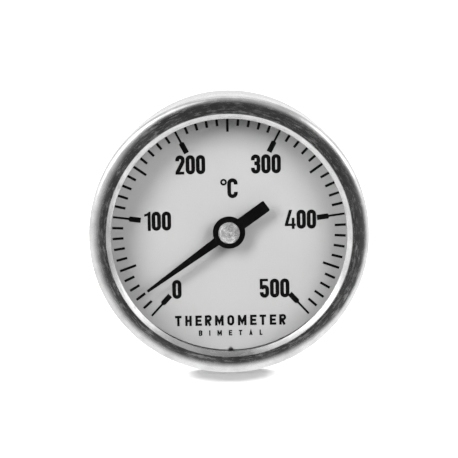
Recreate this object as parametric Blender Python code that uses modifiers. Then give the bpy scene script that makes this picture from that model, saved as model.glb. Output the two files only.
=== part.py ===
"""Rear-stem bimetal oven thermometer, nominal size 63, as an assembly of separate pieces.

The dial's axis is the Y axis. The dial faces -Y, the stem runs along +Y into the oven, and +Z is the
dial's top. The origin is on that axis, in the plane where the oven's panel meets the door gasket.
"""

import math

import bmesh
import bpy
from mathutils import Matrix

MM = 0.001

# Gaps: parts that rest on each other, and a shaft in its bearing (on the radius)
GAP = 0.1 * MM
RUNNING_GAP = 0.08 * MM

# Segments round a turned part
FINE = 60
MEDIUM = 36
SMALL = 20

# Stack from the oven's panel forwards, each piece resting on the one before it
GASKET_THICKNESS = 1.0 * MM
FLANGE_THICKNESS = 4.0 * MM
SEAL_THICKNESS = 0.5 * MM
CASE_SHEET = 0.8 * MM
CARRIER_SHEET = 0.6 * MM
STAR_WASHER_THICKNESS = 0.5 * MM
RING_NUT_THICKNESS = 2.5 * MM
SPIGOT_STANDS_PROUD = 0.7 * MM
BEARING_FLANGE = 0.8 * MM
THRUST_PLAY = 0.2 * MM

FLANGE_BACK = -GASKET_THICKNESS - GAP
FLANGE_FRONT = FLANGE_BACK - FLANGE_THICKNESS
SEAL_FRONT = FLANGE_FRONT - GAP - SEAL_THICKNESS
CASE_BACK = SEAL_FRONT - GAP
CASE_FLOOR = CASE_BACK - CASE_SHEET
CARRIER_BACK = CASE_FLOOR - GAP
STAR_WASHER_BACK = CARRIER_BACK - CARRIER_SHEET - GAP
RING_NUT_BACK = STAR_WASHER_BACK - STAR_WASHER_THICKNESS - GAP
SPIGOT_FRONT = RING_NUT_BACK - RING_NUT_THICKNESS - SPIGOT_STANDS_PROUD

# Dial and pointer, measured forwards from the dial's face
CASE_DEPTH_BEHIND_DIAL = 17.8 * MM
DIAL_FACE = CASE_BACK - CASE_DEPTH_BEHIND_DIAL
DIAL_SHEET = 0.5 * MM
DIAL_RADIUS = 27.65 * MM
DIAL_HOLE_RADIUS = 2.6 * MM
DIAL_NOTCH_RADIUS = 0.6 * MM
POINTER_HEIGHT = 2.6 * MM
POINTER_SHEET = 0.5 * MM
POINTER_RING_RADIUS = 3.66 * MM
POINTER_LENGTH = 22.9 * MM
POINTER_ROOT_WIDTH = 1.9 * MM
POINTER_TIP_WIDTH = 0.6 * MM
TAIL_LENGTH = 10.5 * MM
TAIL_WIDTH = 2.65 * MM
TAIL_CORNER = 0.3 * MM
HUB_HEAD_RADIUS = 2.43 * MM
HUB_NECK_RADIUS = 1.55 * MM
HUB_FOOT_RADIUS = 2.2 * MM
HUB_FOOT_HEIGHT = 1.3 * MM
HUB_TOP_HEIGHT = 4.05 * MM
HUB_FACE_WALL = 0.2 * MM
HUB_HEAD_EDGE = 0.25 * MM

# Scale: 0 to 500 degrees over 275 degrees of turn, even about the top. The pointer rests at 22 degrees.
SCALE_START_DEG = 42.5
DEG_PER_CELSIUS = 0.55
REST_CELSIUS = 22.0

# Window
GLASS_HEIGHT = 4.8 * MM
GLASS_THICKNESS = 2.0 * MM
GLASS_RADIUS = 28.8 * MM
WINDOW_GASKET_THICKNESS = 0.8 * MM
WINDOW_GASKET_BORE = 27.2 * MM
SPACER_BORE = 27.75 * MM
SLEEVE_RADIUS = 28.9 * MM

# Case and bezel
CASE_RADIUS = 29.9 * MM
CASE_CORNER = 2.0 * MM
CASE_HOLE_RADIUS = 6.3 * MM
RIM_RADIUS = 30.55 * MM
RIM_HEIGHT = 2.7 * MM
BEZEL_RADIUS = 31.5 * MM
BEZEL_SHEET = 0.8 * MM
BEZEL_LIP_RADIUS = 26.5 * MM
BEZEL_SLOPE_RADIUS = 27.6 * MM
BEZEL_SLOPE_RISE = 0.95 * MM
BEZEL_CREST_RADIUS = 28.8 * MM
BEZEL_CREST_HEIGHT = 7.9 * MM
BEZEL_SHOULDER_DROP = 1.9 * MM
CRIMP_RADIUS = 30.05 * MM

# Dial carrier
CARRIER_WALL_RADIUS = 14.0 * MM
CARRIER_WINDOWS = 4
CARRIER_WINDOW_WIDTH = 11.0 * MM
CARRIER_WINDOW_END = 2.5 * MM

# Boss, stem and thread
FLANGE_RADIUS = 14.0 * MM
SPANNER_FLATS = 24.0 * MM
THREAD_RADIUS = 7.0 * MM
THREAD_END = 25.0 * MM
THREAD_CHAMFER = 1.0 * MM
THREAD_CLEARANCE = 0.15 * MM
SPIGOT_RADIUS = 6.0 * MM
SPIGOT_CHAMFER = 0.4 * MM
BEARING_BORE_IN_BOSS = 2.5 * MM
TUBE_RADIUS = 4.0 * MM
TUBE_WALL = 0.75 * MM
TUBE_START = 3.0 * MM
STEM_END = 100.0 * MM
PLUG_DOME = 2.0 * MM
PLUG_SHOULDER = 2.9 * MM
PLUG_SPIGOT = 3.0 * MM
CASE_SEAL_RADIUS = 12.0 * MM
STAR_WASHER_RADIUS = 9.5 * MM
STAR_TEETH = 12
STAR_TOOTH = 1.2 * MM
RING_NUT_RADIUS = 10.0 * MM
RING_NUT_SLOTS = 4
RING_NUT_SLOT_WIDTH = 2.5 * MM
RING_NUT_SLOT_DEPTH = 1.6 * MM

# Spindle and coil
SPINDLE_RADIUS = 0.8 * MM
SPINDLE_COLLAR_RADIUS = 2.2 * MM
SPINDLE_COLLAR_LENGTH = 2.0 * MM
UPPER_BEARING_RADIUS = 2.4 * MM
UPPER_BEARING_FLANGE_RADIUS = 4.2 * MM
UPPER_BEARING_LENGTH = 7.0 * MM
BUSH_RADIUS = 3.15 * MM
LOWER_BEARING_START = 50.0 * MM
LOWER_BEARING_LENGTH = 3.0 * MM
COIL_COLLAR_START = 55.5 * MM
COIL_COLLAR_RADIUS = 2.9 * MM
COIL_COLLAR_LENGTH = 2.5 * MM
COIL_START = 59.0 * MM
COIL_END = 90.5 * MM
COIL_RADIUS = 2.1 * MM
COIL_WIRE_RADIUS = 0.35 * MM
COIL_TURNS = 9
COIL_POINTS_PER_TURN = 9
COIL_TAIL = 2.4 * MM
COIL_HOLE_RADIUS = 0.55 * MM
ANCHOR_BEHIND_COIL = 1.0 * MM
ANCHOR_LENGTH = 2.4 * MM

# Clamp behind the panel, drawn round a 6 mm panel
PANEL_THICKNESS = 6.0 * MM
WASHER_BORE = 7.5 * MM
WASHER_RADIUS = 14.0 * MM
WASHER_THICKNESS = 2.5 * MM
SPRING_WASHER_BORE = 7.2 * MM
SPRING_WASHER_RADIUS = 12.0 * MM
SPRING_WASHER_THICKNESS = 3.0 * MM
SPRING_WASHER_SLIT = 1.2 * MM
SPRING_WASHER_SLIT_LEAN_DEG = 25.0
NUT_FLATS = 22.0 * MM
NUT_THICKNESS = 7.0 * MM
NUT_CHAMFER = 1.2 * MM
NUT_FACE_INSET = 0.5 * MM
NUT_BLANK_MARGIN = 0.6 * MM


def clear_scene():
    for obj in list(bpy.data.objects):
        bpy.data.objects.remove(obj, do_unlink=True)


def make_collection(name):
    collection = bpy.data.collections.new(name)
    bpy.context.scene.collection.children.link(collection)
    return collection


def make_material(name, colour, roughness, metallic, transmission=0.0):
    material = bpy.data.materials.new(name)
    material.use_nodes = True
    shader = material.node_tree.nodes["Principled BSDF"]
    shader.inputs["Base Color"].default_value = (*colour, 1.0)
    shader.inputs["Roughness"].default_value = roughness
    shader.inputs["Metallic"].default_value = metallic
    shader.inputs["Transmission Weight"].default_value = transmission
    return material


def add_object(name, data, material, y=0.0, parent=None):
    """Link a new object whose own origin lies on the dial's axis at y."""
    obj = bpy.data.objects.new(name, data)
    parts.objects.link(obj)
    obj.location.y = y
    if parent:
        obj.parent = parent
        obj.location.y = y - parent.location.y
    if material:
        data.materials.append(material)
    return obj


def arc(centre, radius, start_deg, end_deg, steps):
    """Points (r, y) on an arc: 0 degrees points away from the axis, 90 degrees along +Y."""
    points = []
    for i in range(steps + 1):
        angle = math.radians(start_deg + (end_deg - start_deg) * i / steps)
        points.append((centre[0] + radius * math.cos(angle), centre[1] + radius * math.sin(angle)))
    return points


def ring_outline(inner, outer, start, end):
    return [(inner, end), (outer, end), (outer, start), (inner, start)]


def turned(name, outline, material, steps=MEDIUM, y=0.0, parent=None):
    """Turn an outline of (r, y) points about the Y axis.

    The outline runs from +Y to -Y on its outer side. One that starts and ends on the axis makes a solid,
    and any other is closed to make a ring.
    """
    mesh = bpy.data.meshes.new(name)
    edges = [(i, i + 1) for i in range(len(outline) - 1)]
    if outline[0][0] > 0.0:
        edges.append((len(outline) - 1, 0))
    mesh.from_pydata([(r, along, 0.0) for r, along in outline], edges, [])
    obj = add_object(name, mesh, material, y, parent)
    screw = obj.modifiers.new("turn", "SCREW")
    screw.axis = "Y"
    screw.angle = math.tau
    screw.steps = steps
    screw.render_steps = steps
    screw.use_merge_vertices = True
    screw.merge_threshold = 0.00001
    screw.use_smooth_shade = True
    return obj


def ring(name, inner, outer, start, length, material, steps=MEDIUM, parent=None):
    """A plain ring whose origin is on the axis at its front face."""
    return turned(name, ring_outline(inner, outer, 0.0, length), material, steps, start, parent)


def box_cutter(name, size, centre, turn_deg=0.0, lean_deg=0.0):
    """A box at the top of a part, leaned about its own radius and then turned about the dial's axis."""
    mesh = bpy.data.meshes.new(name)
    box = bmesh.new()
    bmesh.ops.create_cube(box, size=1.0)
    bmesh.ops.scale(box, vec=size, verts=box.verts)
    bmesh.ops.rotate(box, matrix=Matrix.Rotation(math.radians(lean_deg), 3, "Z"), verts=box.verts)
    bmesh.ops.translate(box, vec=centre, verts=box.verts)
    bmesh.ops.rotate(box, matrix=Matrix.Rotation(math.radians(turn_deg), 3, "Y"), verts=box.verts)
    box.to_mesh(mesh)
    box.free()
    return add_cutter(name, mesh)


def rod_cutter(name, radius, start, end, x=0.0, z=0.0, sides=16):
    """A rod along Y between two stations."""
    mesh = bpy.data.meshes.new(name)
    rod = bmesh.new()
    bmesh.ops.create_cone(
        rod, cap_ends=True, segments=sides, radius1=radius, radius2=radius, depth=end - start
    )
    bmesh.ops.rotate(rod, matrix=Matrix.Rotation(math.radians(90.0), 3, "X"), verts=rod.verts)
    bmesh.ops.translate(rod, vec=(x, (start + end) / 2.0, z), verts=rod.verts)
    rod.to_mesh(mesh)
    rod.free()
    return add_cutter(name, mesh)


def add_cutter(name, mesh):
    cutter = bpy.data.objects.new(name, mesh)
    cutters.objects.link(cutter)
    cutter.hide_render = True
    cutter.display_type = "WIRE"
    return cutter


def cut(obj, cutter):
    boolean = obj.modifiers.new(cutter.name, "BOOLEAN")
    boolean.operation = "DIFFERENCE"
    boolean.solver = "EXACT"
    boolean.object = cutter
    return boolean


def hexagon_prism(name, flats, start, end):
    """A hexagonal prism along Y with flats at top and bottom, to intersect a nut's blank with."""
    corner_radius = flats / math.sqrt(3.0)
    return rod_cutter(name, corner_radius, start, end, sides=6)


def bezel_outline():
    """Section of the rolled bezel: inner slope, crest, shoulder, skirt and crimp, all of one sheet."""
    lip = DIAL_FACE - GLASS_HEIGHT - GLASS_THICKNESS - GAP
    crest = DIAL_FACE - BEZEL_CREST_HEIGHT
    slope_top = lip - BEZEL_SLOPE_RISE
    crimp_front = DIAL_FACE - RIM_HEIGHT + GAP
    crimp_back = crimp_front + BEZEL_SHEET
    skirt_radius = BEZEL_RADIUS - BEZEL_SHEET
    shoulder_width = BEZEL_RADIUS - BEZEL_CREST_RADIUS
    shoulder_y = crest + BEZEL_SHOULDER_DROP
    outer = [(CRIMP_RADIUS, crimp_back), (BEZEL_RADIUS - BEZEL_SHEET / 2.0, crimp_back)]
    outer.append((BEZEL_RADIUS, crimp_back - BEZEL_SHEET / 2.0))
    shoulder_steps = 5
    for i in range(shoulder_steps + 1):
        angle = math.pi / 2.0 * i / shoulder_steps
        r = BEZEL_CREST_RADIUS + shoulder_width * math.cos(angle)
        outer.append((r, shoulder_y - BEZEL_SHOULDER_DROP * math.sin(angle)))
    outer.append((BEZEL_SLOPE_RADIUS, slope_top))
    outer.append((BEZEL_LIP_RADIUS, lip - GAP))
    inner = [(BEZEL_LIP_RADIUS, lip), (BEZEL_LIP_RADIUS + BEZEL_SHEET, lip)]
    inner.append((BEZEL_SLOPE_RADIUS + BEZEL_SHEET / 2.0, slope_top + BEZEL_SHEET))
    inner.append((BEZEL_CREST_RADIUS, crest + BEZEL_SHEET))
    inner.append((skirt_radius - BEZEL_SHEET, crest + BEZEL_SHEET * 1.5))
    inner.append((skirt_radius, shoulder_y))
    inner.append((skirt_radius, crimp_front))
    inner.append((CRIMP_RADIUS, crimp_front))
    return outer + inner


def case_outline():
    """Section of the pressed cup: back wall, rounded corner, wall and outward rim."""
    rim_back = DIAL_FACE - RIM_HEIGHT
    rim_front = rim_back - CASE_SHEET
    corner_centre = (CASE_RADIUS - CASE_CORNER, CASE_BACK - CASE_CORNER)
    inner_corner = CASE_CORNER - CASE_SHEET
    outline = [(CASE_HOLE_RADIUS, CASE_BACK)]
    outline += arc(corner_centre, CASE_CORNER, 90.0, 0.0, 3)
    outline += [(CASE_RADIUS, rim_back), (RIM_RADIUS, rim_back), (RIM_RADIUS, rim_front)]
    outline += [(CASE_RADIUS - CASE_SHEET, rim_front)]
    outline += arc(corner_centre, inner_corner, 0.0, 90.0, 3)
    outline += [(CASE_HOLE_RADIUS, CASE_FLOOR)]
    return outline


def carrier_outline():
    """Section of the hat that carries the dial: base, wall and wide flange."""
    base_front = CARRIER_BACK - CARRIER_SHEET
    flange_back = DIAL_FACE + DIAL_SHEET + GAP + CARRIER_SHEET
    flange_front = flange_back - CARRIER_SHEET
    inner_wall = CARRIER_WALL_RADIUS - CARRIER_SHEET
    return [
        (CASE_HOLE_RADIUS, CARRIER_BACK),
        (CARRIER_WALL_RADIUS, CARRIER_BACK),
        (CARRIER_WALL_RADIUS, flange_back),
        (SLEEVE_RADIUS, flange_back),
        (SLEEVE_RADIUS, flange_front),
        (inner_wall, flange_front),
        (inner_wall, base_front),
        (CASE_HOLE_RADIUS, base_front),
    ]


def boss_outline():
    """Section of the boss, from the thread's far end forwards, and back through its stepped bore."""
    tube_bore = TUBE_RADIUS + GAP
    return [
        (tube_bore, THREAD_END),
        (THREAD_RADIUS - THREAD_CHAMFER, THREAD_END),
        (THREAD_RADIUS, THREAD_END - THREAD_CHAMFER),
        (THREAD_RADIUS, FLANGE_BACK),
        (FLANGE_RADIUS, FLANGE_BACK),
        (FLANGE_RADIUS, FLANGE_FRONT),
        (SPIGOT_RADIUS, FLANGE_FRONT),
        (SPIGOT_RADIUS, SPIGOT_FRONT + SPIGOT_CHAMFER),
        (SPIGOT_RADIUS - SPIGOT_CHAMFER, SPIGOT_FRONT),
        (BEARING_BORE_IN_BOSS, SPIGOT_FRONT),
        (BEARING_BORE_IN_BOSS, TUBE_START),
        (tube_bore, TUBE_START),
    ]


def make_case():
    turned("case_cup", case_outline(), steel, FINE)
    turned("bezel_ring", bezel_outline(), steel, FINE)
    spacer_front = DIAL_FACE - GLASS_HEIGHT + GAP + WINDOW_GASKET_THICKNESS + GAP
    spacer_back = DIAL_FACE + DIAL_SHEET
    ring("spacer_ring", SPACER_BORE, SLEEVE_RADIUS, spacer_front, spacer_back - spacer_front, alloy)
    gasket_front = DIAL_FACE - GLASS_HEIGHT + GAP
    ring("window_gasket", WINDOW_GASKET_BORE, SLEEVE_RADIUS, gasket_front, WINDOW_GASKET_THICKNESS, silicone)
    glass_front = DIAL_FACE - GLASS_HEIGHT - GLASS_THICKNESS
    pane = [(0.0, GLASS_THICKNESS), (GLASS_RADIUS, GLASS_THICKNESS), (GLASS_RADIUS, 0.0), (0.0, 0.0)]
    turned("window_glass", pane, glass, FINE, glass_front)


def make_dial():
    dial = ring("dial_plate", DIAL_HOLE_RADIUS, DIAL_RADIUS, DIAL_FACE, DIAL_SHEET, dial_paint, FINE)
    notch_start = DIAL_FACE - DIAL_SHEET
    notch_end = DIAL_FACE + 2.0 * DIAL_SHEET
    cut(dial, rod_cutter("dial_notch", DIAL_NOTCH_RADIUS, notch_start, notch_end, z=-DIAL_RADIUS))
    carrier = turned("dial_carrier", carrier_outline(), zinc, MEDIUM)
    wall_front = DIAL_FACE + DIAL_SHEET + GAP + CARRIER_SHEET
    window_length = CARRIER_BACK - wall_front - 2.0 * CARRIER_WINDOW_END
    window_size = (CARRIER_WINDOW_WIDTH, window_length, CARRIER_WALL_RADIUS)
    window_centre = (0.0, (CARRIER_BACK + wall_front) / 2.0, CARRIER_WALL_RADIUS)
    for i in range(CARRIER_WINDOWS):
        turn = 360.0 * (i + 0.5) / CARRIER_WINDOWS
        cut(carrier, box_cutter(f"carrier_window_{i + 1}", window_size, window_centre, turn))


def make_boss():
    boss = turned("stem_boss", boss_outline(), steel, MEDIUM)
    flat_depth = FLANGE_RADIUS - SPANNER_FLATS / 2.0
    flat_size = (2.0 * flat_depth, FLANGE_THICKNESS + 2.0 * GAP, 2.0 * FLANGE_RADIUS)
    flat_x = SPANNER_FLATS / 2.0 + flat_depth
    for side, name in ((-1.0, "left_flat"), (1.0, "right_flat")):
        centre = (side * flat_x, (FLANGE_BACK + FLANGE_FRONT) / 2.0, 0.0)
        cut(boss, box_cutter(name, flat_size, centre))
    seal_bore = SPIGOT_RADIUS + 3.0 * GAP
    ring("case_seal", seal_bore, CASE_SEAL_RADIUS, SEAL_FRONT, SEAL_THICKNESS, fibre)
    ring("door_gasket", WASHER_BORE, FLANGE_RADIUS, -GASKET_THICKNESS, GASKET_THICKNESS, fibre)


def star_outline():
    """Flat outline of the toothed washer: a saw-toothed rim that steps between two radii."""
    points = []
    root = STAR_WASHER_RADIUS - STAR_TOOTH
    for i in range(2 * STAR_TEETH):
        for share in (0.15, 0.85):
            angle = math.tau * (i + share) / (2 * STAR_TEETH)
            radius = STAR_WASHER_RADIUS if i % 2 == 0 else root
            points.append((radius * math.cos(angle), radius * math.sin(angle)))
    return points


def flat_plate(name, outline, hole_radius, thickness, y, material, parent=None, turn_deg=0.0):
    """A flat piece with a round hole, drawn as seen from the front with +Y of the drawing as up."""
    curve = bpy.data.curves.new(name, "CURVE")
    curve.dimensions = "2D"
    curve.fill_mode = "BOTH"
    curve.extrude = thickness / 2.0
    curve.render_resolution_u = 0
    hole = []
    for i in range(SMALL):
        angle = math.tau * i / SMALL
        hole.append((hole_radius * math.cos(angle), hole_radius * math.sin(angle)))
    for loop in (outline, hole):
        spline = curve.splines.new("POLY")
        spline.points.add(len(loop) - 1)
        for point, (x, up) in zip(spline.points, loop):
            point.co = (x, up, 0.0, 1.0)
        spline.use_cyclic_u = True
    obj = add_object(name, curve, material, y + thickness / 2.0, parent)
    obj.rotation_euler = (math.radians(90.0), math.radians(-turn_deg), 0.0)
    return obj


def make_inner_clamp():
    star_front = STAR_WASHER_BACK - STAR_WASHER_THICKNESS
    star_bore = SPIGOT_RADIUS + 3.0 * GAP
    flat_plate("star_washer", star_outline(), star_bore, STAR_WASHER_THICKNESS, star_front, zinc)
    nut_front = RING_NUT_BACK - RING_NUT_THICKNESS
    nut_bore = SPIGOT_RADIUS + THREAD_CLEARANCE
    nut = ring("ring_nut", nut_bore, RING_NUT_RADIUS, nut_front, RING_NUT_THICKNESS, zinc, MEDIUM)
    slot_size = (RING_NUT_SLOT_WIDTH, 2.0 * RING_NUT_THICKNESS, 2.0 * RING_NUT_SLOT_DEPTH)
    slot_centre = (0.0, nut_front + RING_NUT_THICKNESS / 2.0, RING_NUT_RADIUS)
    for i in range(RING_NUT_SLOTS):
        turn = 360.0 * (i + 0.5) / RING_NUT_SLOTS
        cut(nut, box_cutter(f"ring_nut_slot_{i + 1}", slot_size, slot_centre, turn))


def make_stem():
    tube_bore = TUBE_RADIUS - TUBE_WALL
    tube_start = TUBE_START + GAP
    tube_end = STEM_END - PLUG_SHOULDER - GAP
    ring("stem_tube", tube_bore, TUBE_RADIUS, tube_start, tube_end - tube_start, steel)
    dome_steps = 5
    plug = [(0.0, STEM_END)]
    for i in range(1, dome_steps + 1):
        angle = math.pi / 2.0 * i / dome_steps
        along = STEM_END - PLUG_DOME * (1.0 - math.cos(angle))
        plug.append((TUBE_RADIUS * math.sin(angle), along))
    plug.append((TUBE_RADIUS, STEM_END - PLUG_SHOULDER))
    plug.append((BUSH_RADIUS, STEM_END - PLUG_SHOULDER))
    plug.append((BUSH_RADIUS, STEM_END - PLUG_SHOULDER - PLUG_SPIGOT))
    plug.append((0.0, STEM_END - PLUG_SHOULDER - PLUG_SPIGOT))
    turned("end_plug", plug, steel)


def make_bearings():
    bore = SPINDLE_RADIUS + RUNNING_GAP
    flange_back = SPIGOT_FRONT - GAP
    upper = [
        (bore, flange_back + UPPER_BEARING_LENGTH),
        (UPPER_BEARING_RADIUS, flange_back + UPPER_BEARING_LENGTH),
        (UPPER_BEARING_RADIUS, flange_back),
        (UPPER_BEARING_FLANGE_RADIUS, flange_back),
        (UPPER_BEARING_FLANGE_RADIUS, flange_back - BEARING_FLANGE),
        (bore, flange_back - BEARING_FLANGE),
    ]
    turned("upper_bearing", upper, brass, SMALL)
    ring("lower_bearing", bore, BUSH_RADIUS, LOWER_BEARING_START, LOWER_BEARING_LENGTH, brass, SMALL)


def make_pointer_works():
    """Everything that turns with the pointer, on an empty at the dial's centre."""
    axis = bpy.data.objects.new("pointer_axis", None)
    parts.objects.link(axis)
    axis.location.y = DIAL_FACE
    rest_deg = SCALE_START_DEG + DEG_PER_CELSIUS * REST_CELSIUS
    pointer_front = DIAL_FACE - POINTER_HEIGHT - POINTER_SHEET
    flat_plate(
        "pointer",
        pointer_outline(),
        HUB_NECK_RADIUS + GAP,
        POINTER_SHEET,
        pointer_front,
        black_paint,
        axis,
        turn_deg=270.0 - rest_deg,
    )
    turned("pointer_hub", hub_outline(), steel, SMALL, DIAL_FACE, axis)
    spindle_front = DIAL_FACE - HUB_TOP_HEIGHT + 2.0 * HUB_FACE_WALL
    spindle_end = COIL_COLLAR_START + COIL_COLLAR_LENGTH + GAP
    length = spindle_end - spindle_front
    rod = [(0.0, length), (SPINDLE_RADIUS, length), (SPINDLE_RADIUS, 0.0), (0.0, 0.0)]
    turned("spindle", rod, steel, SMALL, spindle_front, axis)
    collar_bore = SPINDLE_RADIUS + RUNNING_GAP
    collar_back = SPIGOT_FRONT - GAP - BEARING_FLANGE - THRUST_PLAY
    ring(
        "spindle_collar",
        collar_bore,
        SPINDLE_COLLAR_RADIUS,
        collar_back - SPINDLE_COLLAR_LENGTH,
        SPINDLE_COLLAR_LENGTH,
        brass,
        SMALL,
        axis,
    )
    coil_collar = ring(
        "coil_collar",
        collar_bore,
        COIL_COLLAR_RADIUS,
        COIL_COLLAR_START,
        COIL_COLLAR_LENGTH,
        brass,
        SMALL,
        axis,
    )
    hole_start = COIL_COLLAR_START - GAP
    hole_end = COIL_COLLAR_START + COIL_COLLAR_LENGTH + GAP
    hole = rod_cutter("coil_collar_hole", COIL_HOLE_RADIUS, hole_start, hole_end, x=COIL_RADIUS, sides=12)
    cut(coil_collar, hole)


def pointer_outline():
    """Flat outline of the pointer with its tip along +X: blade, ring and square-cut tail."""
    blade = POINTER_ROOT_WIDTH / 2.0
    tip = POINTER_TIP_WIDTH / 2.0
    tail = TAIL_WIDTH / 2.0
    blade_deg = math.degrees(math.asin(blade / POINTER_RING_RADIUS))
    tail_deg = 180.0 - math.degrees(math.asin(tail / POINTER_RING_RADIUS))
    upper = [(POINTER_LENGTH, tip)]
    upper += arc((0.0, 0.0), POINTER_RING_RADIUS, blade_deg, tail_deg, 8)
    upper += [(-TAIL_LENGTH + TAIL_CORNER, tail), (-TAIL_LENGTH, tail - TAIL_CORNER)]
    lower = [(x, -up) for x, up in reversed(upper)]
    return upper + lower


def hub_outline():
    """Section of the riveted hub, measured from the dial's face: foot, neck under the pointer and head."""
    bore = SPINDLE_RADIUS + RUNNING_GAP
    bore_end = -HUB_TOP_HEIGHT + HUB_FACE_WALL
    neck_back = -POINTER_HEIGHT + GAP
    neck_front = -POINTER_HEIGHT - POINTER_SHEET - GAP
    return [
        (0.0, bore_end),
        (bore, bore_end),
        (bore, -HUB_FOOT_HEIGHT),
        (HUB_FOOT_RADIUS, -HUB_FOOT_HEIGHT),
        (HUB_FOOT_RADIUS, neck_back),
        (HUB_NECK_RADIUS, neck_back),
        (HUB_NECK_RADIUS, neck_front),
        (HUB_HEAD_RADIUS, neck_front),
        (HUB_HEAD_RADIUS, -HUB_TOP_HEIGHT + HUB_HEAD_EDGE),
        (HUB_HEAD_RADIUS - HUB_HEAD_EDGE, -HUB_TOP_HEIGHT),
        (0.0, -HUB_TOP_HEIGHT),
    ]


def coil_path():
    """Points of the helix, with a straight tail at each end that enters its collar or anchor."""
    turns = COIL_TURNS * COIL_POINTS_PER_TURN
    points = [(COIL_RADIUS, COIL_START - COIL_TAIL, 0.0)]
    for i in range(turns + 1):
        angle = math.tau * i / COIL_POINTS_PER_TURN
        along = COIL_START + (COIL_END - COIL_START) * i / turns
        points.append((COIL_RADIUS * math.cos(angle), along, COIL_RADIUS * math.sin(angle)))
    points.append((COIL_RADIUS, COIL_END + COIL_TAIL, 0.0))
    return points


def make_coil():
    curve = bpy.data.curves.new("bimetal_coil", "CURVE")
    curve.dimensions = "3D"
    curve.bevel_depth = COIL_WIRE_RADIUS
    curve.bevel_resolution = 2
    curve.use_fill_caps = True
    curve.render_resolution_u = 0
    path = coil_path()
    spline = curve.splines.new("POLY")
    spline.points.add(len(path) - 1)
    for point, place in zip(spline.points, path):
        point.co = (*place, 1.0)
    add_object("bimetal_coil", curve, bimetal)
    anchor_start = COIL_END + ANCHOR_BEHIND_COIL
    anchor = turned("coil_anchor", anchor_outline(), brass, SMALL, anchor_start)
    anchor_end = anchor_start + ANCHOR_LENGTH
    hole = rod_cutter(
        "coil_anchor_hole", COIL_HOLE_RADIUS, anchor_start - GAP, anchor_end + GAP, x=COIL_RADIUS, sides=12
    )
    cut(anchor, hole)


def anchor_outline():
    return [(0.0, ANCHOR_LENGTH), (BUSH_RADIUS, ANCHOR_LENGTH), (BUSH_RADIUS, 0.0), (0.0, 0.0)]


def make_clamp():
    """Flat washer, split washer and thin nut, in the order they go on behind the panel."""
    ring("flat_washer", WASHER_BORE, WASHER_RADIUS, PANEL_THICKNESS, WASHER_THICKNESS, zinc)
    split_start = PANEL_THICKNESS + WASHER_THICKNESS + GAP
    split = ring(
        "spring_washer", SPRING_WASHER_BORE, SPRING_WASHER_RADIUS, split_start, SPRING_WASHER_THICKNESS, zinc
    )
    slit_size = (SPRING_WASHER_SLIT, 3.0 * SPRING_WASHER_THICKNESS, SPRING_WASHER_RADIUS)
    slit_centre = (0.0, split_start + SPRING_WASHER_THICKNESS / 2.0, SPRING_WASHER_RADIUS)
    slit = box_cutter(
        "spring_washer_slit", slit_size, slit_centre, lean_deg=SPRING_WASHER_SLIT_LEAN_DEG
    )
    cut(split, slit)
    nut_start = split_start + SPRING_WASHER_THICKNESS + GAP
    nut = turned("lock_nut", nut_outline(), zinc, MEDIUM, nut_start)
    nut_end = nut_start + NUT_THICKNESS
    trim = cut(nut, hexagon_prism("nut_hexagon", NUT_FLATS, nut_start - GAP, nut_end + GAP))
    trim.operation = "INTERSECT"


def nut_outline():
    """Section of the nut's round blank, chamfered at both ends; a hexagon trims it afterwards."""
    corner = NUT_FLATS / math.sqrt(3.0) + NUT_BLANK_MARGIN
    bore = THREAD_RADIUS + THREAD_CLEARANCE
    face = NUT_FLATS / 2.0 - NUT_FACE_INSET
    return [
        (bore, NUT_THICKNESS),
        (face, NUT_THICKNESS),
        (corner, NUT_THICKNESS - NUT_CHAMFER),
        (corner, NUT_CHAMFER),
        (face, 0.0),
        (bore, 0.0),
    ]


clear_scene()
parts = make_collection("oven_thermometer")
cutters = make_collection("oven_thermometer_cutters")
steel = make_material("stainless_steel", (0.62, 0.62, 0.61), 0.28, 1.0)
zinc = make_material("zinc_plate", (0.60, 0.61, 0.63), 0.38, 1.0)
alloy = make_material("aluminium", (0.70, 0.70, 0.71), 0.45, 1.0)
brass = make_material("brass", (0.72, 0.55, 0.28), 0.35, 1.0)
bimetal = make_material("bimetal_strip", (0.50, 0.47, 0.43), 0.40, 1.0)
glass = make_material("clear_glass", (0.95, 0.97, 0.96), 0.02, 0.0, 1.0)
dial_paint = make_material("dial_white", (0.72, 0.72, 0.72), 0.60, 0.0)
black_paint = make_material("matt_black", (0.02, 0.02, 0.02), 0.55, 0.0)
silicone = make_material("silicone", (0.55, 0.55, 0.55), 0.70, 0.0)
fibre = make_material("graphite_fibre", (0.10, 0.10, 0.11), 0.80, 0.0)

make_case()
make_dial()
make_boss()
make_inner_clamp()
make_stem()
make_bearings()
make_pointer_works()
make_coil()
make_clamp()
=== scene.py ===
"""Looks of the rear-stem oven thermometer: fine shapes, materials, light and camera.

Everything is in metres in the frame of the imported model: the dial faces -Y, the stem runs along +Y and +Z
is up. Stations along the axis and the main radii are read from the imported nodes.
"""

import math

import bmesh
import bpy
from mathutils import Matrix, Vector


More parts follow.
